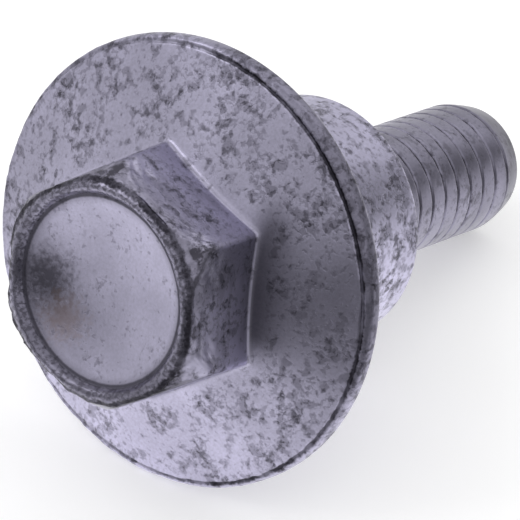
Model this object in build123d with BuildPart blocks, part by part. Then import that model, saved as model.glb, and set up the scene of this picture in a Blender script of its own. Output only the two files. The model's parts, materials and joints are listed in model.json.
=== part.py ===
"""Valve cover bolt: one cold-forged piece of coated steel.

From its head to its tip it has a drafted hexagon head with a lipped dish, a thin
conical flange with a rounded rim, a plain round shoulder that sets how far the
cover's seal is squeezed, a relief neck, and a metric thread with a bevelled tip.
The thread has its true section, turned ring by ring at its pitch.

The bolt lies as it comes to rest on a flat surface: on the rim of its flange and
on the last crest of its thread. The origin is the centre of the bearing face under
the flange, on the bolt's axis. The axis runs towards +X and dips to the tip.
"""

import os
from math import asin, atan2, cos, degrees, hypot, radians, sin, tan

from build123d import *

# Driving dimensions, in millimetres and degrees
thread_diameter = 6.0
thread_pitch = 1.0
thread_length = 11.0
neck_length = 1.1
neck_clearance = 0.05
tip_bevel = 0.36
tip_bevel_angle = 45.0

shoulder_diameter = 11.0
shoulder_length = 9.25
shoulder_bevel = 0.25
seat_bevel = 0.3

flange_diameter = 20.0
rim_thickness = 0.95
rim_radius = 0.36
flange_slope = 18.0

head_width = 10.0
head_height = 6.85
head_draft = 2.0
head_turn = -21.0
head_foot_bevel = 0.25
corner_bevel_angle = 60.0
brow_diameter = 9.9
brow_drop = 0.27
lip_diameter = 8.9
lip_land = 0.1
lip_rise = 0.42
dish_diameter = 8.16
dish_depth = 0.7

# Turn of the round faces' seam, so that flat facets of rim and thread touch the floor
seam_turn = 12.6

# Places along the axis, counted from the bearing face towards the tip
head_top = -head_height
rim_front = -rim_thickness
thread_start = shoulder_length + neck_length
tip_end = thread_start + thread_length
tip_bevel_length = tip_bevel / tan(radians(tip_bevel_angle))
last_crest = tip_end - tip_bevel_length

# Radii
thread_radius = thread_diameter / 2
shoulder_radius = shoulder_diameter / 2
flange_radius = flange_diameter / 2
brow_radius = brow_diameter / 2
lip_radius = lip_diameter / 2
dish_radius = dish_diameter / 2

# Thread form: ISO depth and 60 degree flanks, with a flat crest between the grooves
groove_depth = 0.6134 * thread_pitch
flank_width = groove_depth * tan(radians(30))
crest_width = thread_pitch - 2 * flank_width
root_radius = thread_radius - groove_depth
neck_radius = root_radius - neck_clearance
turns = int((thread_length - flank_width - tip_bevel_length) / thread_pitch)
last_root = thread_start + turns * thread_pitch

# Hexagon: its width is held where its corners meet the flange's cone
slope = tan(radians(flange_slope))
corner_radius = head_width / 2 / cos(radians(30))
foot_height = (flange_radius - corner_radius) * slope
hexagon_radius = head_width / 2 + foot_height * tan(radians(head_draft))
flat_rise = (corner_radius - head_width / 2) * slope

# Top of the head: a lip round the dish, a brow outside it, then the corners' bevel
brow = head_top + brow_drop
bevel_radius = corner_radius + foot_height
bevel_drop = (bevel_radius - brow_radius) * tan(radians(corner_bevel_angle))

# Dish: a part of a sphere, sunk below the lip
dish_edge = head_top + lip_rise
dish_curvature = (dish_radius**2 + dish_depth**2) / (2 * dish_depth)
dish_centre = dish_edge + dish_depth - dish_curvature
dish_angle = degrees(asin(dish_radius / dish_curvature))

# Lean at rest: the line under the bolt touches the rounded rim and the last crest
rim_round = min(rim_radius, 0.45 * rim_thickness)
rise = flange_radius - rim_round - thread_radius
run = last_crest + rim_round
lean = atan2(rise, run) + asin(rim_round / hypot(rise, run))

tip_direction = Vector(cos(lean), 0, -sin(lean))
bolt_axis = Axis((0, 0, 0), tip_direction)
section_plane = Plane(origin=(0, 0, 0), x_dir=tip_direction, z_dir=(0, -1, 0))
head_plane = Plane(
    origin=tip_direction * rim_front, x_dir=(0, -1, 0), z_dir=-tip_direction
)


def rounded(centre, start_angle, steps=3):
    """Points on a quarter of the rim's rounding, for turning it as short cones."""
    return [
        (
            centre + rim_round * cos(radians(start_angle - 90 * step / steps)),
            flange_radius
            - rim_round
            + rim_round * sin(radians(start_angle - 90 * step / steps)),
        )
        for step in range(steps + 1)
    ]


def thread_ring(turn):
    """One crest of the thread: up the flank, along the crest, down to the next root."""
    foot = thread_start + turn * thread_pitch
    return [
        (foot, root_radius),
        (foot + flank_width, thread_radius),
        (foot + flank_width + crest_width, thread_radius),
    ]


def height_above_foot(edge):
    """How far the middle of an edge stands above the corners of the hexagon's foot."""
    return -edge.center().dot(tip_direction) - rim_thickness - foot_height


with BuildPart() as shoulder_bolt:
    # Flange, shoulder, neck and shank, turned from half a section
    with BuildSketch(section_plane):
        with BuildLine():
            Polyline(
                (rim_front - flange_radius * slope, 0),
                *rounded(rim_front + rim_round, 180),
                *rounded(-rim_round, 90),
                (0, shoulder_radius),
                (shoulder_length, shoulder_radius),
                (shoulder_length, neck_radius),
                (thread_start - neck_clearance, neck_radius),
                *[point for turn in range(turns) for point in thread_ring(turn)],
                (last_root, root_radius),
                (last_root + flank_width, thread_radius),
                (last_crest, thread_radius),
                (tip_end, thread_radius - tip_bevel),
                (tip_end, 0),
                close=True,
            )
        make_face()
        chamfer(vertices().sort_by_distance((0, shoulder_radius))[0], seat_bevel)
        chamfer(
            vertices().sort_by_distance((shoulder_length, shoulder_radius))[0],
            shoulder_bevel,
        )
    turned = revolve(axis=bolt_axis, mode=Mode.PRIVATE)
    add(turned.rotate(bolt_axis, seam_turn))

    # Hexagon head with forging draft
    for height in (0, head_height - rim_thickness):
        with BuildSketch(head_plane.offset(height)):
            RegularPolygon(
                hexagon_radius - height * tan(radians(head_draft)),
                6,
                major_radius=False,
                rotation=head_turn,
            )
    loft(ruled=True)
    foot_edges = edges().filter_by(
        lambda edge: -flat_rise < height_above_foot(edge) < 2 * flat_rise
    )
    chamfer(foot_edges, head_foot_bevel)

    # Brow round the lip, and the bevel of the hexagon's corners
    with BuildSketch(section_plane):
        with BuildLine():
            Polyline(
                (head_top, lip_radius + lip_land / 2),
                (brow, brow_radius),
                (brow + bevel_drop, bevel_radius),
                (head_top, bevel_radius),
                close=True,
            )
        make_face()
    revolve(axis=bolt_axis, mode=Mode.SUBTRACT)

    # Dish and the inner side of its lip
    with BuildSketch(section_plane):
        with BuildLine():
            CenterArc((dish_centre, 0), dish_curvature, 0, dish_angle)
            Polyline(
                (dish_edge, dish_radius),
                (head_top, lip_radius - lip_land / 2),
                (head_top, 0),
                (dish_edge + dish_depth, 0),
            )
        make_face()
    revolve(axis=bolt_axis, mode=Mode.SUBTRACT)

shoulder_bolt.part.label = "shoulder_bolt"
os.makedirs("parts", exist_ok=True)
export_step(shoulder_bolt.part, "parts/shoulder_bolt.step")
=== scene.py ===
"""Valve cover bolt: the finished look of one cold-forged, zinc-flake coated bolt.

The whole bolt is one closed mesh, made of rings from the middle of its dished head
to the middle of its tip. Each ring is a closed line round the bolt's axis, and the
hexagon, the right-hand thread and the worn edges are where its points lie.
"""

import json
import math

import bpy
import numpy as np
from bpy.props import (
    FloatProperty,
    FloatVectorProperty,
    IntProperty,
    PointerProperty,
)
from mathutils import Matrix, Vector, noise


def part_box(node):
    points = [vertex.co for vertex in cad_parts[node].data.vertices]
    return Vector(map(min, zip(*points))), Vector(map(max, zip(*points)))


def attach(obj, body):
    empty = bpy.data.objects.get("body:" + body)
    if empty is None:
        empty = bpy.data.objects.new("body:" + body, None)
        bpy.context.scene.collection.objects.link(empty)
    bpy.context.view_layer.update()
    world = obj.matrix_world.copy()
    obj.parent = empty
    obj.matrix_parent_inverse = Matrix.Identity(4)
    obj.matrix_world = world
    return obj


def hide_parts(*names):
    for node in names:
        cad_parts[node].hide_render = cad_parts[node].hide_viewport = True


bl_info = {
    "name": "Valve cover bolt",
    "version": (1, 0, 0),
    "blender": (4, 5, 0),
    "location": "View3D > Sidebar > Valve Bolt",
    "description": "Builds a coated valve cover bolt and the pale stage that it lies on",
    "category": "Object",
}

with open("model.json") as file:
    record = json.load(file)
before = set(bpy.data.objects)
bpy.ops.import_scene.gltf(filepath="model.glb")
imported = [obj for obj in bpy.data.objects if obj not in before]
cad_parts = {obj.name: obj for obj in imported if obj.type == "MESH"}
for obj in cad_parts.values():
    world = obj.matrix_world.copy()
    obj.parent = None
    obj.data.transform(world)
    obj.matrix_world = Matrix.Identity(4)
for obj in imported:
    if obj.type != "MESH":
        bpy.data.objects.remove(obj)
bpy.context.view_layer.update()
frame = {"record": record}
MM = 0.001

# Rings across the dish, and along the neck, the thread and the tip's end
DISH_RINGS, NECK_RINGS, THREAD_RINGS, TIP_RINGS = 30, 9, 232, 12
# How far a crest falls from its middle to its edges, as a part of the groove's depth
CREST_CROWN = 0.03
# A distance that lies past every named edge
FAR = 50 * MM

# Sides of the stage where the floor and the room are dark, and where the lamps hang
DARK_SIDE = (-0.342, -0.940, 0.0)
LEFT_SIDE = (-0.866, -0.500, 0.0)
KEY_PLACE = (-0.20, 0.25, 0.42)
FILL_PLACE = (0.34, -0.02, 0.38)
LAMP_SIZE = 0.30


def mount(name):
    """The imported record's mount of that name."""
    return next(m for m in frame["record"]["mounts"] if m["name"] == name)


THREAD_AXIS = Vector(mount("thread")["axis"]).normalized()


def length(name, description, value):
    """A size in metres that the sidebar shows."""
    return FloatProperty(
        name=name,
        description=description,
        default=value,
        min=0.0,
        precision=5,
        subtype="DISTANCE",
        unit="LENGTH",
    )


def angle(name, description, value):
    """An angle that the sidebar shows in degrees."""
    return FloatProperty(
        name=name,
        description=description,
        default=math.radians(value),
        subtype="ANGLE",
        unit="ROTATION",
    )


def colour(name, description, value):
    """A linear colour."""
    return FloatVectorProperty(
        name=name,
        description=description,
        default=value,
        size=3,
        min=0.0,
        max=1.0,
        subtype="COLOR",
    )


def point(name, description, value):
    """A place in metres."""
    return FloatVectorProperty(
        name=name,
        description=description,
        default=value,
        size=3,
        subtype="TRANSLATION",
        unit="LENGTH",
    )


def share(name, description, value, high=1.0):
    """A plain number from nought."""
    return FloatProperty(
        name=name, description=description, default=value, min=0.0, max=high
    )


class ValveBoltSizes(bpy.types.PropertyGroup):
    """The bolt's sizes, from its thread to its head"""

    thread_radius: length("Thread radius", "Half the thread's outside diameter", 2.99 * MM)
    thread_pitch: length("Pitch", "From one crest of the thread to the next", 1.0 * MM)
    groove_depth: length("Groove depth", "Crest to root of the thread", 0.17 * MM)
    crest_width: share("Crest width", "Part of the pitch that the crest takes", 0.83)
    groove_fill: share("Groove fill", "Part of the grooves that is filled", 0.40)
    thread_start: length("Thread start", "Bearing face to the first groove", 10.35 * MM)
    tip_end: length("Tip", "Bearing face to the end of the thread", 21.335 * MM)
    tip_bevel: length("Tip bevel", "How far the tip is taken down", 0.36 * MM)
    tip_length: length("Tip length", "Length of the tip's bevel", 1.45 * MM)
    tip_edge: length("Tip edge", "Rounding at the end of the tip", 0.12 * MM)
    neck_radius: length("Neck radius", "Relief neck under the shoulder", 2.34 * MM)
    shoulder_radius: length("Shoulder radius", "Plain round shoulder", 5.5 * MM)
    shoulder_length: length("Shoulder length", "Bearing face to shoulder's end", 9.25 * MM)
    shoulder_bevel: length("Shoulder bevel", "Bevel at the shoulder's end", 0.25 * MM)
    seat_bevel: length("Seat bevel", "Bevel between flange and shoulder", 0.3 * MM)
    flange_radius: length("Flange radius", "Half the flange's diameter", 9.985 * MM)
    rim_thickness: length("Rim thickness", "Flange thickness at its rim", 0.95 * MM)
    rim_round: length("Rim rounding", "Radius of the rim's edges", 0.36 * MM)
    crevice_radius: length("Crevice radius", "Radius of the rim's crevice", 9.68 * MM)
    crevice_wave: length("Crevice wave", "How far it wanders from round", 0.10 * MM)
    crevice_depth: length("Crevice depth", "Depth of the rim's crevice", 0.10 * MM)
    flange_slope: angle("Flange slope", "Fall of the flange's face to its rim", 18.0)
    head_width: length("Across flats", "Width of the hexagon", 10.0 * MM)
    head_height: length("Head height", "Bearing face to the top of the lip", 6.85 * MM)
    head_draft: angle("Head draft", "Lean of the hexagon's sides", 2.0)
    head_turn: angle("Head turn", "Turn of the hexagon on the axis", -21.0)
    corner_round: length("Corner rounding", "Radius of the hexagon's corners", 0.22 * MM)
    foot_round: length("Foot rounding", "Fillet where the hexagon meets the flange", 0.3 * MM)
    corner_bevel: angle("Corner bevel", "Slope of the worn hexagon corners", 60.0)
    bevel_round: length("Bevel rounding", "Rounding of the corners' bevel", 3.0 * MM)
    brow_radius: length("Brow radius", "Outer edge of the lip", 4.95 * MM)
    brow_drop: length("Brow drop", "Top of the lip to its outer edge", 0.27 * MM)
    brow_round: length("Brow rounding", "Rounding of the brow's edge", 0.14 * MM)
    brow_swell: length("Brow swell", "How far the brow stands out at the back", 0.16 * MM)
    lip_radius: length("Lip radius", "Middle of the lip round the dish", 4.53 * MM)
    lip_rise: length("Lip rise", "Dish edge to the top of the lip", 0.42 * MM)
    lip_round: length("Lip rounding", "Rounding of the lip's top", 0.30 * MM)
    dish_radius: length("Dish radius", "Half the width of the dish", 4.20 * MM)
    dish_depth: length("Dish depth", "Depth of the dish below its edge", 0.7 * MM)
    dish_round: length("Dish rounding", "Rounding of the dish's edge", 0.10 * MM)
    points_round: IntProperty(
        name="Points round the head",
        description="Points on each ring of head and flange; the thread has half as many",
        default=240,
        min=48,
        max=480,
        step=12,
    )


class ValveBoltFinish(bpy.types.PropertyGroup):
    """The coating's colours and wear, and the colour and place of painted shade"""

    coating: colour("Coating", "Dull zinc flake coating", (0.34, 0.325, 0.42))
    pale: colour("Pale flakes", "Brightest flakes of the coating", (0.58, 0.555, 0.73))
    speck: colour("Specks", "Dark specks and blotches", (0.085, 0.08, 0.105))
    # Colour of the painted shade and of the dirt in the creases
    grime_and_shade: colour("Grime and shade", "Dirt and painted shade in the creases", (0.020, 0.018, 0.026))
    rust: colour("Rust tint", "Faint warm tint in the dish", (0.33, 0.24, 0.22))
    roughness: share("Roughness", "Roughness of the clean coating", 0.32)
    metallic: share("Metallic", "How metallic the coating is", 0.92)
    edge_wear: length("Edge wear", "How ragged the worn edges are", 0.045 * MM)
    stain: point(
        "Stain", "Middle of the dish's warm stain", (-6.3 * MM, 1.85 * MM, -0.15 * MM)
    )
    # Middle of the dark reflection that is painted in the dish
    painted_dish_shade: point(
        "Painted dish shade", "Middle of the dish's dark patch", (-5.85 * MM, 3.1 * MM, 1.2 * MM)
    )


class ValveBoltStage(bpy.types.PropertyGroup):
    """Camera, floor, room and lights"""

    target: point(
        "Camera target",
        "The point that the camera looks at",
        (1.7844 * MM, -2.2799 * MM, -0.0319 * MM),
    )
    distance: length("Distance", "Camera to target", 221.097 * MM)
    azimuth: angle("Azimuth", "Direction from the target to the camera", -141.458)
    elevation: angle("Elevation", "Height of the camera over the target", 37.944)
    lens: FloatProperty(
        name="Lens",
        description="Focal length on a sensor 36 mm wide",
        default=355.68,
        min=1.0,
        unit="CAMERA",
    )
    floor_colour: colour("Floor", "Colour of floor and backdrop", (0.9, 0.9, 0.9))
    floor_size: length("Floor size", "Width of the floor", 1.6)
    room_level: share("Room level", "Brightness of the pale room", 0.76, 4.0)
    dark_level: share("Dark level", "Brightness of its dark low side", 0.03, 4.0)
    front_shade: share("Front shade", "How dark the floor reflects on that side", 0.62)
    key_power: share("Key light", "Power of the main light in watts", 0.40, 50.0)
    fill_power: share("Fill light", "Power of the second light in watts", 0.18, 50.0)


def smoothstep(low, high, x):
    """Nought up to low, one from high, and smooth between."""
    t = np.clip((x - low) / (high - low), 0.0, 1.0)
    return t * t * (3 - 2 * t)


class Section:
    """The bolt's outline at every angle round its axis, as corners joined by runs.

    A corner is its place along the axis and its radius, each a number or one number
    for each angle. Corners are rounded, and runs are divided into rings.
    """

    def __init__(self, angles):
        self.angles = angles
        self.corners = []

    def corner(self, along, radius, rounding=0.0, steps=0, rings=1, name=None):
        """Adds a corner: its rounding, the steps in it, and the rings on the run to it."""
        ones = np.ones_like(self.angles)
        here = np.stack([along * ones, radius * ones], -1)
        self.corners.append((here, rounding, steps, rings, name))

    def rings(self):
        """All rings, as an array of ring, angle, (place along the axis, radius).

        It also gives how far each point is past each named corner, along the outline.
        """
        out, points = [], [c[0] for c in self.corners]
        last, middles = points[0], {}
        for i, (here, rounding, steps, rings, name) in enumerate(self.corners):
            if i == 0:
                out.append(here)
                continue
            end = i == len(self.corners) - 1
            start, stop = here, here
            if steps and not end:
                before, after = points[i - 1] - here, points[i + 1] - here
                reach_before = np.linalg.norm(before, axis=-1, keepdims=True)
                reach_after = np.linalg.norm(after, axis=-1, keepdims=True)
                one, two = before / reach_before, after / reach_after
                half = np.arccos(np.clip((one * two).sum(-1, keepdims=True), -1, 1)) / 2
                trim = rounding / np.tan(half)
                trim = np.minimum(trim, 0.48 * np.minimum(reach_before, reach_after))
                start, stop = here + one * trim, here + two * trim
                pull = np.sin(half)
            for k in range(1, rings + 1):
                out.append(last + (start - last) * k / rings)
            for k in range(1, steps + 1) if steps and not end else ():
                t = k / steps
                shares = (1 - t) ** 2, 2 * pull * t * (1 - t), t * t
                curve = start * shares[0] + here * shares[1] + stop * shares[2]
                out.append(curve / sum(shares))
            last = stop
            if name:
                middles[name] = len(out) - 1 - steps // 2
        out = np.array(out)
        walked = np.linalg.norm(np.diff(out, axis=0), axis=-1)
        walked = np.concatenate([np.zeros((1, len(self.angles))), np.cumsum(walked, 0)])
        return out, {name: walked - walked[at] for name, at in middles.items()}


def hexagon_reach(angles, apothem, rounding, turn):
    """Radius of a hexagon with rounded corners, at each angle round the axis."""
    flat = np.mod(angles - turn, math.pi / 3) - math.pi / 6
    straight = apothem / np.cos(flat)
    from_corner = math.pi / 6 - np.abs(flat)
    centre = (apothem - rounding) / math.cos(math.pi / 6)
    under = np.maximum(rounding**2 - (centre * np.sin(from_corner)) ** 2, 0)
    arc = centre * np.cos(from_corner) + np.sqrt(under)
    bend = np.arctan((apothem - rounding) * math.tan(math.pi / 6) / apothem)
    return np.where(np.abs(flat) > bend, arc, straight)


def head_and_shoulder(sizes, angles):
    """Rings from the middle of the dish to the neck."""
    s = sizes
    top, rim_front = -s.head_height, -s.rim_thickness
    slope, bevel = math.tan(s.flange_slope), math.tan(s.corner_bevel)
    draft = math.tan(s.head_draft)
    corner_radius = s.head_width / 2 / math.cos(math.pi / 6)
    foot_height = (s.flange_radius - corner_radius) * slope
    foot_apothem = s.head_width / 2 + foot_height * draft
    brow_at = top + s.brow_drop

    def reach(along):
        apothem = foot_apothem - (rim_front - along) * draft
        return hexagon_reach(angles, apothem, s.corner_round, s.head_turn)

    corner, foot = reach(brow_at), reach(rim_front)
    # The bevel and the cone meet the drafted sides where these steps settle
    for _ in range(12):
        corner_at = brow_at + np.maximum(corner - s.brow_radius, 0.06 * MM) * bevel
        corner = reach(corner_at)
        foot_at = rim_front - (s.flange_radius - foot) * slope
        foot = reach(foot_at)
    swell = s.brow_swell * np.maximum(-np.cos(angles - 0.3), 0) ** 3
    brow = s.brow_radius + 0.06 * (corner - s.brow_radius) + swell
    brow = np.minimum(reach(brow_at), brow)

    section = Section(angles)
    dish_edge = top + s.lip_rise
    curvature = (s.dish_radius**2 + s.dish_depth**2) / (2 * s.dish_depth)
    for k in range(1, DISH_RINGS):
        radius = s.dish_radius * k / DISH_RINGS
        sag = curvature - math.sqrt(curvature**2 - radius**2)
        section.corner(dish_edge + s.dish_depth - sag, radius)
    section.corner(dish_edge, s.dish_radius, s.dish_round, 4, name="past_dish")
    section.corner(top, s.lip_radius, s.lip_round, 8, 3)
    section.corner(brow_at, brow, s.brow_round, 4, 4, name="past_brow")
    section.corner(corner_at, corner, s.bevel_round, 8, 4)
    section.corner(foot_at, foot, s.foot_round, 6, 30, name="past_foot")
    # The rim: closer rings for its crevice, then a quarter round at its front and back
    fold, crevice_zone = s.flange_radius - s.rim_round, 0.5 * MM
    section.corner(rim_front - crevice_zone * slope, fold - crevice_zone, rings=30)
    section.corner(rim_front, fold, rings=16)
    for k in range(1, 13):
        turned = math.pi / 2 * k / 12
        back = s.rim_round * (1 - math.cos(turned))
        section.corner(rim_front + back, fold + s.rim_round * math.sin(turned))
    for k in range(9):
        turned = math.pi / 2 * k / 8
        back = s.rim_round * (math.sin(turned) - 1)
        section.corner(back, fold + s.rim_round * math.cos(turned))
    section.corner(0.0, s.shoulder_radius, s.seat_bevel, 5, 22)
    section.corner(s.shoulder_length, s.shoulder_radius, s.shoulder_bevel, 5, 36)
    section.corner(s.shoulder_length, s.neck_radius, rings=12)
    return section.rings()


def thread_and_tip(sizes, angles):
    """Rings from the neck to the middle of the tip, with the thread's helix."""
    s = sizes
    root = s.thread_radius - s.groove_depth
    neck_start = s.shoulder_length + 0.12 * MM
    fade = s.thread_start - 0.9 * MM, s.thread_start + 0.5 * MM
    neck = np.linspace(neck_start, s.thread_start, NECK_RINGS, False)
    thread = np.linspace(s.thread_start, s.tip_end, THREAD_RINGS)
    rings = []
    for along in np.concatenate([neck, thread]):
        # Height over the root, as a part of the groove's depth, with coating in it
        turned = np.mod(along / s.thread_pitch + angles / math.tau, 1.0)
        off = np.abs(turned - 0.5) * 2
        crest = 1 - np.clip((off - s.crest_width) / (1 - s.crest_width), 0, 1)
        crest = crest * (1 - CREST_CROWN * (off / s.crest_width).clip(0, 1) ** 2)
        patchy = np.sin(3 * angles + 2.1 * along / MM)
        patchy *= np.sin(5 * angles - 1.3 * along / MM)
        filled = s.groove_fill - 0.22 * np.sin(angles) + 0.25 * patchy
        crest = crest + (1 - crest) * filled
        radius = root + (s.thread_radius - root) * crest
        # The groove runs out to the neck, and the tip is tapered and then rounded
        start = smoothstep(*fade, along)
        radius = s.neck_radius * (1 - start) + radius * start
        left = max(s.tip_end - along, 0)
        taper = s.tip_bevel * max(1 - left / s.tip_length, 0) ** 1.2
        inside = max(s.tip_edge - left, 0)
        edge = s.tip_edge - math.sqrt(max(s.tip_edge**2 - inside**2, 0))
        radius = np.minimum(radius, s.thread_radius - taper - edge)
        rings.append(np.stack([np.full_like(angles, along), radius], -1))
    tip_radius = rings[-1][:, 1]
    for k in range(1, TIP_RINGS):
        inward = tip_radius * (1 - k / TIP_RINGS)
        rings.append(np.stack([np.full_like(angles, s.tip_end), inward], -1))
    return np.array(rings)


def stitch_rings(first, count_first, second, count_second):
    """Faces between two rings of vertex numbers, the same size or two to one."""
    if count_first == count_second:
        n = count_first
        return [
            (first + i, second + i, second + (i + 1) % n, first + (i + 1) % n)
            for i in range(n)
        ]
    n, faces = count_second, []
    for i in range(n):
        a, b, c = 2 * i, 2 * i + 1, (2 * i + 2) % count_first
        p, q = i, (i + 1) % n
        faces.append((first + a, second + p, first + b))
        faces.append((first + b, second + p, second + q))
        faces.append((first + b, second + q, first + c))
    return faces


def fractal(points, scale, octaves=3, seed=0.0):
    """Smooth noise from about -1 to 1 at points in metres, with features of that scale."""
    shift = Vector((seed * 7.3, seed * 3.1, seed * 5.7))
    return np.array(
        [
            noise.fractal(Vector(p) / scale + shift, 0.6, 2.1, octaves)
            for p in points.tolist()
        ]
    )


def bolt_mesh(sizes, finish):
    """The bolt's closed mesh, in the frame's own place."""
    s = sizes
    around = s.points_round
    wide = np.arange(around) * math.tau / around
    narrow = wide[::2]
    (upper, past), lower = head_and_shoulder(s, wide), thread_and_tip(s, narrow)

    axis = np.array(THREAD_AXIS)
    side = np.array((0.0, -1.0, 0.0))
    up = np.cross(axis, -side)
    up *= -1 if up[2] < 0 else 1

    def place(rings, angles):
        spoke = np.cos(angles)[:, None] * side + np.sin(angles)[:, None] * up
        return rings[..., :1] * axis + rings[..., 1:] * spoke

    # Vertices from the middle of the dish to the middle of the tip, and flat, which
    # says how far each one is along the axis and away from it
    wide_points, narrow_points = place(upper, wide), place(lower, narrow)
    dish_bottom = s.dish_depth + s.lip_rise - s.head_height
    vertices = [np.array([dish_bottom * axis])]
    vertices += [wide_points.reshape(-1, 3), narrow_points.reshape(-1, 3)]
    vertices.append(np.array([s.tip_end * axis]))
    points = np.concatenate(vertices)
    flat = np.concatenate(
        [[[dish_bottom, 0]], upper.reshape(-1, 2)]
        + [lower.reshape(-1, 2), [[s.tip_end, 0]]]
    )

    # Faces, with half as many points to a ring from the neck on
    faces = [(0, 1 + (i + 1) % around, 1 + i) for i in range(around)]
    starts = [1 + i * around for i in range(len(upper))]
    counts = [around] * len(upper)
    base = 1 + around * len(upper)
    starts += [base + i * len(narrow) for i in range(len(lower))]
    counts += [len(narrow)] * len(lower)
    for i in range(len(starts) - 1):
        loop = stitch_rings(starts[i], counts[i], starts[i + 1], counts[i + 1])
        faces += [face[::-1] for face in loop]
    last, n = starts[-1], counts[-1]
    faces += [(last + i, last + (i + 1) % n, len(points) - 1) for i in range(n)]

    angles = [np.zeros(1), np.tile(wide, len(upper))]
    angles += [np.tile(narrow, len(lower)), np.zeros(1)]
    angles = np.concatenate(angles)
    points = worn(points, flat, angles, axis, s, finish)
    mesh = bpy.data.meshes.new("valve_bolt")
    mesh.from_pydata(points.tolist(), [], faces)
    mesh.update()
    mesh.shade_smooth()
    # How far each vertex is past each named edge, for the coating's colours and its painted
    # light and shade
    past["past_rim"] = crevice_distance(flat, angles, s)[1:base].reshape(len(upper), -1)
    past["past_rim"][upper[..., 0] > -0.3 * MM] = FAR
    flank = np.mod(wide - s.head_turn, math.pi / 3) - math.pi / 6
    past["off_corner"] = (math.pi / 6 - np.abs(flank)) * upper[..., 1]
    for name, distance in past.items():
        far = np.full(len(points), FAR)
        far[0], far[1 : base] = distance[0, 0], distance.ravel()
        attribute = mesh.attributes.new(name, "FLOAT", "POINT")
        attribute.data.foreach_set("value", (far / MM).astype(np.float32))
    return mesh


def crevice_distance(flat, angles, sizes):
    """How far points lie outside the crevice round the flange's rim."""
    middle = sizes.crevice_radius - sizes.crevice_wave * np.sin(2 * angles)
    outwards = np.maximum(-np.cos(angles - 0.35), 0) ** 3
    return flat[:, 1] - middle - 3 * sizes.crevice_wave * outwards


def worn(points, flat, angles, axis, sizes, finish):
    """Moves points inwards where the real edges are worn, dented or ragged."""
    s = sizes
    along, radius = flat[:, 0], flat[:, 1]
    out = points - along[:, None] * axis
    reach = np.linalg.norm(out, axis=1, keepdims=True)
    spoke = out / np.maximum(reach, 1e-9)
    fine = fractal(points, 0.35 * MM, 3, 1)
    coarse = fractal(points, 1.5 * MM, 3, 2)

    # The brow and the hexagon's upper corners are pushed in and down
    head = along < -s.rim_thickness - 0.5 * MM
    brow = head * np.exp(-(((along + s.head_height - 0.25 * MM) / (0.35 * MM)) ** 2))
    brow = brow * smoothstep(s.dish_radius - 0.02 * MM, s.dish_radius + 0.2 * MM, radius)
    side, top = s.head_width / 2, -s.head_height
    corners = head * smoothstep(side - 0.1 * MM, side + 0.3 * MM, radius)
    corners = corners * smoothstep(top + 2.55 * MM, top + 1.45 * MM, along)
    push = brow * (fine - 0.7 + 0.5 * coarse) + corners * (fine - 0.3 + coarse)
    push = np.minimum(finish.edge_wear * push, 0.0)
    side_push = (push * (0.35 + 0.65 * (radius > s.dish_radius + 0.1 * MM)))[:, None] * spoke
    top_push = (-push * head * 0.6)[:, None] * axis

    # The crevice is cut into the flange's face, and the rim outside it is ragged
    front = smoothstep(-0.35 * MM, -0.7 * MM, along) * (radius > s.crevice_radius - MM)
    past = crevice_distance(flat, angles, s) + 0.05 * MM * fine
    carve = s.crevice_depth * np.exp(-((past / (0.07 * MM)) ** 2)) * (1 + 0.5 * fine)
    outside = smoothstep(0.0, 0.2 * MM, past) * finish.edge_wear
    carve = carve + outside * np.maximum(0.5 + 0.7 * fine + 0.6 * coarse, 0.0)
    carve = (front * carve)[:, None]
    return points + side_push + top_push + carve * (0.8 * axis - 0.6 * spoke)


class Value:
    """A number's socket, on which the usual operators add Math nodes."""

    def __init__(self, tree, socket):
        self.tree, self.socket = tree, socket

    def math(self, operation, *others, clamp=False):
        """This value and others through one Math node."""
        return self.tree.node(
            "ShaderNodeMath",
            {"operation": operation, "use_clamp": clamp},
            self,
            *others,
        )

    def __add__(self, other):
        return self.math("ADD", other)

    __radd__ = __add__

    def __sub__(self, other):
        return self.math("SUBTRACT", other)

    def __rsub__(self, other):
        return self.tree.node("ShaderNodeMath", {"operation": "SUBTRACT"}, other, self)

    def __mul__(self, other):
        return self.math("MULTIPLY", other)

    __rmul__ = __mul__

    def __truediv__(self, other):
        return self.math("DIVIDE", other)

    def clamp(self):
        """This value, held between nought and one."""
        return self.math("ADD", 0.0, clamp=True)

    def ramp(self, low, high):
        """Nought at low, one at high, and smooth between, also where low is the higher."""
        return self.tree.node(
            "ShaderNodeMapRange",
            {"interpolation_type": "SMOOTHSTEP"},
            **{"Value": self, "From Min": low, "From Max": high},
        )


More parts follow.
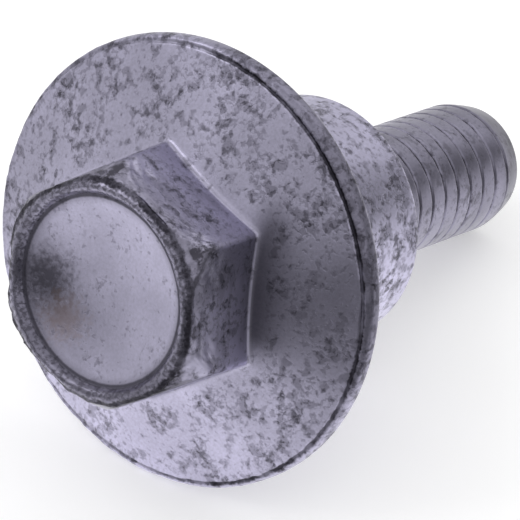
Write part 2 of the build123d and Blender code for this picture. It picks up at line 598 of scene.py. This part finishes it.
class Tree:
    """A material's or world's nodes."""

    def __init__(self, owner):
        owner.use_nodes = True
        self.nodes, self.links = owner.node_tree.nodes, owner.node_tree.links
        self.nodes.clear()

    def node(self, kind, settings=None, *inputs, output=0, **named):
        """Adds a node: its settings first, then its inputs by order or by name.

        An input that is None stays as it is. The output is a number or a name.
        """
        node = self.nodes.new(kind)
        for name, value in (settings or {}).items():
            setattr(node, name, value)
        pairs = list(zip(node.inputs, inputs))
        pairs += [(node.inputs[name], value) for name, value in named.items()]
        for socket, value in pairs:
            self.feed(socket, value)
        return Value(self, node.outputs[output]) if node.outputs else None

    def feed(self, socket, value):
        """Links a socket to a value, or sets it to a number or colour."""
        if isinstance(value, Value):
            self.links.new(value.socket, socket)
        elif hasattr(value, "__len__") and len(value) == 3 and socket.type == "RGBA":
            socket.default_value = (*value, 1.0)
        elif value is not None:
            socket.default_value = value

    def noise(self, where, scale, detail=2.0, roughness=0.5, distortion=0.0):
        """Noise from about nought to one, with features per metre given by scale."""
        settings = {"noise_dimensions": "3D"}
        inputs = {"Vector": where, "Scale": scale, "Detail": detail}
        inputs |= {"Roughness": roughness, "Distortion": distortion}
        return self.node("ShaderNodeTexNoise", settings, **inputs)

    def mix(self, factor, first, second):
        """A mix of two colours. A Mix node has five other sockets before the colours."""
        inputs = factor, *(None,) * 5, first, second
        return self.node("ShaderNodeMix", {"data_type": "RGBA"}, *inputs, output=2)

    def vector(self, operation, *inputs, output=0):
        """Vector maths, with a vector from output 0 or a number from output 1."""
        return self.node(
            "ShaderNodeVectorMath", {"operation": operation}, *inputs, output=output
        )


def coating_material(sizes, finish):
    """Zinc flake coating: mottled, specked and scratched, with painted shade in the creases
    and on some sides, and painted highlights.
    """
    material = bpy.data.materials.new("coated_steel_painted_light")
    tree = Tree(material)
    place = tree.node("ShaderNodeTexCoord", output=3)
    along = tree.vector("DOT_PRODUCT", place, tuple(THREAD_AXIS), output=1) / MM
    near = tree.vector("DOT_PRODUCT", place, (0.0, -1.0, 0.0), output=1) / MM
    level = tree.vector("DOT_PRODUCT", place, (0.0, 0.0, 1.0), output=1) / MM
    beside = tree.vector("CROSS_PRODUCT", place, tuple(THREAD_AXIS))
    radius = tree.vector("LENGTH", beside, output=1) / MM
    shoulder_end, tip_end = sizes.shoulder_length / MM, sizes.tip_end / MM
    shoulder, crest = sizes.shoulder_radius / MM, sizes.thread_radius / MM

    def past(name):
        settings = {"attribute_name": name}
        return tree.node("ShaderNodeAttribute", settings, output=2)

    dish, brow, foot, rim, corner = (
        past(name)
        for name in ("past_dish", "past_brow", "past_foot", "past_rim", "off_corner")
    )
    # Where each part of the surface is, from nought to one
    in_dish = dish.ramp(0.04, -0.06)
    in_lip = dish.ramp(-0.02, 0.06) * brow.ramp(0.10, -0.02)
    in_flats = brow.ramp(0.0, 0.12) * foot.ramp(0.05, -0.05)
    on_flange = foot.ramp(-0.05, 0.05) * rim.ramp(0.0, -0.1)
    in_thread = along.ramp(shoulder_end + 0.05, shoulder_end + 0.15)
    in_shoulder = along.ramp(0.1, 0.2) * (1 - in_thread)
    past_rim = rim.ramp(0.0, 0.1) * along.ramp(0.1, 0.0)

    # Noise at the scales of the mottling, from clouds to single flakes
    clouds = tree.noise(place, 330, 2.0, 0.5)
    clusters = tree.noise(place, 640, 3.0, 0.55, 0.4)
    blotch = tree.noise(place, 2000, 2.5, 0.52, 0.2)
    speck = tree.noise(place, 4300, 2.0, 0.5, 0.2)
    flakes = tree.noise(place, 7500, 2.0, 0.6, 0.2)
    cracks = tree.noise(place, 1500, 2.5, 0.55, 1.4)
    ragged = tree.noise(place, 3200, 3.0, 0.7)
    grain = tree.noise(place, 5600, 2.0, 0.5, 0.3)
    drawn = tree.vector("MULTIPLY", tuple(THREAD_AXIS), along * (0.8 * MM))
    drawn = tree.vector("MULTIPLY_ADD", place, (0.2, 0.2, 0.2), drawn)
    streaks = tree.noise(drawn, 1700, 3.0, 0.55, 0.4)

    # Dark specks and blotches, in crowds, and few in the dish and round the foot
    near_foot = on_flange * foot.ramp(0.9, 0.25)
    crowd = (
        (clusters - 0.5) * 0.50
        + in_lip * 0.06
        + in_shoulder * 0.015
        - in_dish * 0.085
        - in_thread * 0.05
        - near_foot * 0.12
        - in_flats * 0.035 * brow.ramp(0.8, 2.0)
    )
    dark = (blotch + crowd).ramp(0.50, 0.64) * (0.56 - 0.32 * in_dish)
    dark = dark + (speck + crowd).ramp(0.51, 0.64) * 0.44
    lines = (cracks - 0.5).math("ABSOLUTE").ramp(0.024, 0.006)
    lines = lines * clusters.ramp(0.44, 0.58) * (1 - 0.7 * in_dish)
    marks = in_flats * corner.ramp(0.3, 1.3) * streaks.ramp(0.46, 0.66) * 0.30
    notch = in_flats * brow.ramp(3.0, 1.0) * (corner + (ragged - 0.5) * 1.2).ramp(0.4, 0.1)
    notch = notch * clusters.ramp(0.40, 0.56) * 0.7
    marred = dark * 0.80 + lines * (0.28 + 0.3 * in_shoulder) + marks + notch
    marred = (marred * (1 - in_lip) + in_lip * grain.ramp(0.44, 0.62) * 0.70).clamp()

    # The coating, paler in places and with painted highlights, then darker in places and with
    # painted shade
    base = tree.mix(0.38 + flakes.ramp(0.3, 0.7) * 0.3, finish.coating, finish.pale)
    light = (0.65 + speck.ramp(0.46, 0.36) * 0.35) * in_shoulder + in_dish * 0.2
    light = light + grain.ramp(0.46, 0.34) * in_lip * 0.7
    # Painted highlight: a pale, less metallic line along the fillet at the hexagon's foot
    painted_fillet_highlight = foot.math("ABSOLUTE").ramp(0.16, 0.03) * level.ramp(6.5, 3.0)
    # Painted light: the flats on the hexagon's -y side are made paler
    painted_flat_light = in_flats * near.ramp(2.8, 3.6) * level.ramp(3.3, 2.7)
    light = light + painted_fillet_highlight * 0.4 + painted_flat_light * 1.0
    base = tree.mix(light, base, finish.pale)
    # Painted shade: the lip, and the flats near the brow, are darker low down
    below = level.ramp(1.0, -1.8)
    darker_tone_and_shade = (
        clouds.ramp(0.66, 0.36) * 0.18
        + in_thread * (0.46 + 0.34 * along.ramp(tip_end - 2.035, tip_end - 0.735))
        + in_lip * (0.38 + 0.24 * below)
        + in_flats * brow.ramp(1.7, 0.3) * 0.28
        + in_flats * brow.ramp(3.4, 1.0) * below * 0.30
    )
    base = tree.mix(darker_tone_and_shade, base, finish.speck)
    base = tree.mix(marred, base, finish.speck)

    # A painted dark reflection and a rust tint in the dish, then painted shade towards its
    # edge
    def spot(middle, reach, core):
        distance = tree.vector("DISTANCE", place, tuple(middle), output=1) / MM
        return (distance + (speck - 0.5) * 2.2).ramp(reach, core) * in_dish

    # Painted dark reflection in the dish, in the speck colour
    base = tree.mix(spot(finish.painted_dish_shade, 1.9, 0.2) * 0.86, base, finish.speck)
    base = tree.mix(spot(finish.stain, 1.5, 0.1) * 0.5, base, finish.rust)
    # Painted shade, darker towards the dish's edge
    base = tree.mix(in_dish * dish.ramp(-0.55, 0.0) * 0.50, base, finish.speck)

    # Painted shade in the creases, on the flange and rim, at the shoulder's end and in the
    # thread's roots
    # Painted shade along a crease, made ragged by noise
    def crease(distance, width, wander):
        off = (distance + (ragged - 0.5) * wander).math("ABSOLUTE")
        return off.ramp(width, width * 0.35)

    # Painted shade on the flange beside the hexagon, on its -y side
    shady = on_flange * foot.ramp(2.7, 0.1) * near.ramp(3.8, 5.0) * level.ramp(-1.4, 0.2)
    # Painted shade on the rim's outside, on the -y side and high up
    painted_rim_shade = past_rim * near.ramp(-2.0, 2.0) * level.ramp(-2.5, 1.0)
    # The crevice's painted shade is fainter on the +y side
    edged = 0.25 + 0.75 * near.ramp(-4.0, 3.0)
    mottled = 0.25 + 0.45 * clusters.ramp(0.40, 0.58)
    # Painted shade, mottled, low on the hexagon's corner bevel on the -y side
    low_corner = in_flats * brow.ramp(3.0, 1.4) * near.ramp(1.0, 2.6) * level.ramp(0.4, -1.2)
    # Painted shade in the thread's roots, with dark blotches where the clusters are, away
    # from the neck and the tip
    root = (radius + (ragged - 0.5) * 0.12).ramp(crest - 0.02, crest - 0.09) * in_thread
    root = root * along.ramp(tip_end - 1.135, tip_end - 1.535)
    root = root * along.ramp(shoulder_end + 0.55, shoulder_end + 2.75)
    # Painted shade along the edge at the shoulder's end
    shoulder_end_shade = crease(along - shoulder_end + 0.05, 0.14, 0.10)
    grime_and_shade = (
        # Painted shade in the creases at the dish's edge, at the brow and in the rim's
        # crevice
        crease(dish + 0.05, 0.15, 0.06) * 0.72
        + crease(brow + 0.04, 0.26, 0.44) * (0.62 + 0.26 * clusters.ramp(0.38, 0.58))
        + crease(rim, 0.13, 0.22) * (0.55 + 0.35 * clusters.ramp(0.38, 0.58)) * edged
        + shady * 0.76
        + painted_rim_shade * 0.42
        + low_corner * mottled
        + shoulder_end_shade * radius.ramp(shoulder - 0.4, shoulder - 0.2) * 0.6
        + root * (0.40 + 0.50 * clusters.ramp(0.42, 0.56))
    ).clamp()
    base = tree.mix(grime_and_shade, base, finish.grime_and_shade)

    rough = finish.roughness + marred * 0.12 + grime_and_shade * 0.25
    height = flakes * 0.12 + blotch * 0.3 - marred * 0.7
    bump = tree.node(
        "ShaderNodeBump",
        None,
        **{"Strength": 0.25, "Distance": 0.00005, "Height": height},
    )
    shader = tree.node(
        "ShaderNodeBsdfPrincipled",
        None,
        **{
            "Base Color": base,
            "Metallic": finish.metallic - painted_fillet_highlight * 0.5,
            "Roughness": rough,
            "Normal": bump,
        },
    )
    tree.node("ShaderNodeOutputMaterial", None, shader)
    return material


class VALVEBOLT_OT_bolt(bpy.types.Operator):
    """Builds the bolt as one closed mesh with its coating"""

    bl_idname = "valve_bolt.bolt"
    bl_label = "Bolt"

    def execute(self, context):
        sizes, finish = context.scene.valve_bolt_sizes, context.scene.valve_bolt_finish
        bolt = bpy.data.objects.new("valve_bolt", bolt_mesh(sizes, finish))
        context.scene.collection.objects.link(bolt)
        bolt.data.materials.append(coating_material(sizes, finish))
        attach(bolt, "root")
        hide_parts("shoulder_bolt")
        return {"FINISHED"}


class VALVEBOLT_OT_stage(bpy.types.Operator):
    """Lays the pale floor, and sets the lights, the surround and the camera"""

    bl_idname = "valve_bolt.stage"
    bl_label = "Stage"

    def execute(self, context):
        look = context.scene.valve_bolt_stage
        scene = context.scene
        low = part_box("shoulder_bolt")[0]
        half = look.floor_size / 2
        mesh = bpy.data.meshes.new("floor")
        corners = [(-half, -half), (half, -half), (half, half), (-half, half)]
        mesh.from_pydata([(x, y, low.z) for x, y in corners], [], [(0, 1, 2, 3)])
        floor = bpy.data.objects.new("floor", mesh)
        scene.collection.objects.link(floor)
        mesh.materials.append(self.floor_material(look))
        self.surround(scene, look)
        self.lamp(scene, "key_light", KEY_PLACE, look.key_power)
        self.lamp(scene, "fill_light", FILL_PLACE, look.fill_power)
        self.camera(scene, look)
        scene.view_settings.view_transform = "Standard"
        return {"FINISHED"}

    def camera(self, scene, look):
        """A long lens, from in front of the head and above it."""
        level = math.cos(look.elevation)
        ahead, aside = math.cos(look.azimuth), math.sin(look.azimuth)
        away = Vector((level * ahead, level * aside, math.sin(look.elevation)))
        camera_data = bpy.data.cameras.new("camera")
        camera_data.sensor_width = 36.0
        camera_data.lens = look.lens
        camera_data.clip_start, camera_data.clip_end = 0.001, 10.0
        camera = bpy.data.objects.new("camera", camera_data)
        camera.location = Vector(look.target) + away * look.distance
        camera.rotation_euler = (-away).to_track_quat("-Z", "Y").to_euler()
        scene.collection.objects.link(camera)
        scene.camera = camera

    def floor_material(self, look):
        """Pale, with the bolt's soft shadow, and darker on two sides where it is mirrored."""
        material = bpy.data.materials.new("floor_white")
        tree = Tree(material)
        camera, glossy, through = (
            tree.node("ShaderNodeLightPath", output=name)
            for name in ("Is Camera Ray", "Is Glossy Ray", "Is Transmission Ray")
        )
        # Distances from the bolt towards each side, in metres
        place = tree.node("ShaderNodeTexCoord", output=3)
        front = tree.vector("DOT_PRODUCT", place, DARK_SIDE, output=1)
        left = tree.vector("DOT_PRODUCT", place, LEFT_SIDE, output=1)
        shade = front.ramp(-0.004, 0.045) * look.front_shade
        shade = shade + front.ramp(0.03, 0.08) * 0.33
        shade = (shade + left.ramp(0.006, 0.020) * 0.18).clamp() * glossy
        paint = tree.node("ShaderNodeBsdfDiffuse", None, look.floor_colour)
        near = tree.vector("LENGTH", place, output=1).ramp(0.035, 0.010)
        back = tree.vector("DOT_PRODUCT", place, (0.0, 1.0, 0.0), output=1)
        far = 0.42 - back.ramp(0.008, 0.032) * 0.38
        seen = (camera + through).clamp() * 0.35 + glossy * (far + near * 0.45)
        glow = tree.node("ShaderNodeEmission", None, (1.0, 1.0, 1.0), seen)
        both = tree.node("ShaderNodeAddShader", None, paint, glow)
        black = tree.node("ShaderNodeEmission", None, (0.0, 0.0, 0.0))
        floor = tree.node("ShaderNodeMixShader", None, shade, both, black)
        tree.node("ShaderNodeOutputMaterial", None, floor)
        return material

    def surround(self, scene, look):
        """A pale room, dark low down on one side."""
        world = bpy.data.worlds.new("surround")
        scene.world = world
        tree = Tree(world)
        toward = tree.node("ShaderNodeTexCoord")
        height = tree.node("ShaderNodeSeparateXYZ", None, toward, output="Z")
        side = tree.vector("DOT_PRODUCT", toward, DARK_SIDE, output=1)
        dark = side.ramp(-0.36, 0.04) * height.ramp(0.44, 0.12)
        strength = look.room_level - dark * (look.room_level - look.dark_level)
        lit = tree.node("ShaderNodeBackground", None, (1.0, 1.0, 1.0), strength)
        tree.node("ShaderNodeOutputWorld", None, lit)

    def lamp(self, scene, name, place, watts):
        """A square soft light that faces the bolt."""
        data = bpy.data.lights.new(name, "AREA")
        data.size, data.energy = LAMP_SIZE, watts
        lamp = bpy.data.objects.new(name, data)
        lamp.location = place
        lamp.rotation_euler = (-Vector(place)).to_track_quat("-Z", "Y").to_euler()
        scene.collection.objects.link(lamp)


class VALVEBOLT_PT_panel(bpy.types.Panel):
    """Lists the bolt's operators, sizes and colours"""

    bl_idname = "VALVEBOLT_PT_panel"
    bl_label = "Valve Bolt"
    bl_space_type = "VIEW_3D"
    bl_region_type = "UI"
    bl_category = "Valve Bolt"

    def draw(self, context):
        layout = self.layout
        for operator in OPERATORS:
            layout.operator(operator.bl_idname)
        for group in GROUPS:
            box = layout.box()
            settings = getattr(context.scene, group)
            for name in GROUPS[group].__annotations__:
                box.prop(settings, name)


OPERATORS = (VALVEBOLT_OT_bolt, VALVEBOLT_OT_stage)
GROUPS = {
    "valve_bolt_sizes": ValveBoltSizes,
    "valve_bolt_finish": ValveBoltFinish,
    "valve_bolt_stage": ValveBoltStage,
}
CLASSES = (*GROUPS.values(), *OPERATORS, VALVEBOLT_PT_panel)


def register():
    for cls in CLASSES:
        bpy.utils.register_class(cls)
    for name, group in GROUPS.items():
        setattr(bpy.types.Scene, name, PointerProperty(type=group))


def unregister():
    for name in GROUPS:
        delattr(bpy.types.Scene, name)
    for cls in reversed(CLASSES):
        bpy.utils.unregister_class(cls)


def main():
    register()
    bpy.ops.valve_bolt.bolt()
    bpy.ops.valve_bolt.stage()


if __name__ == "__main__":
    main()
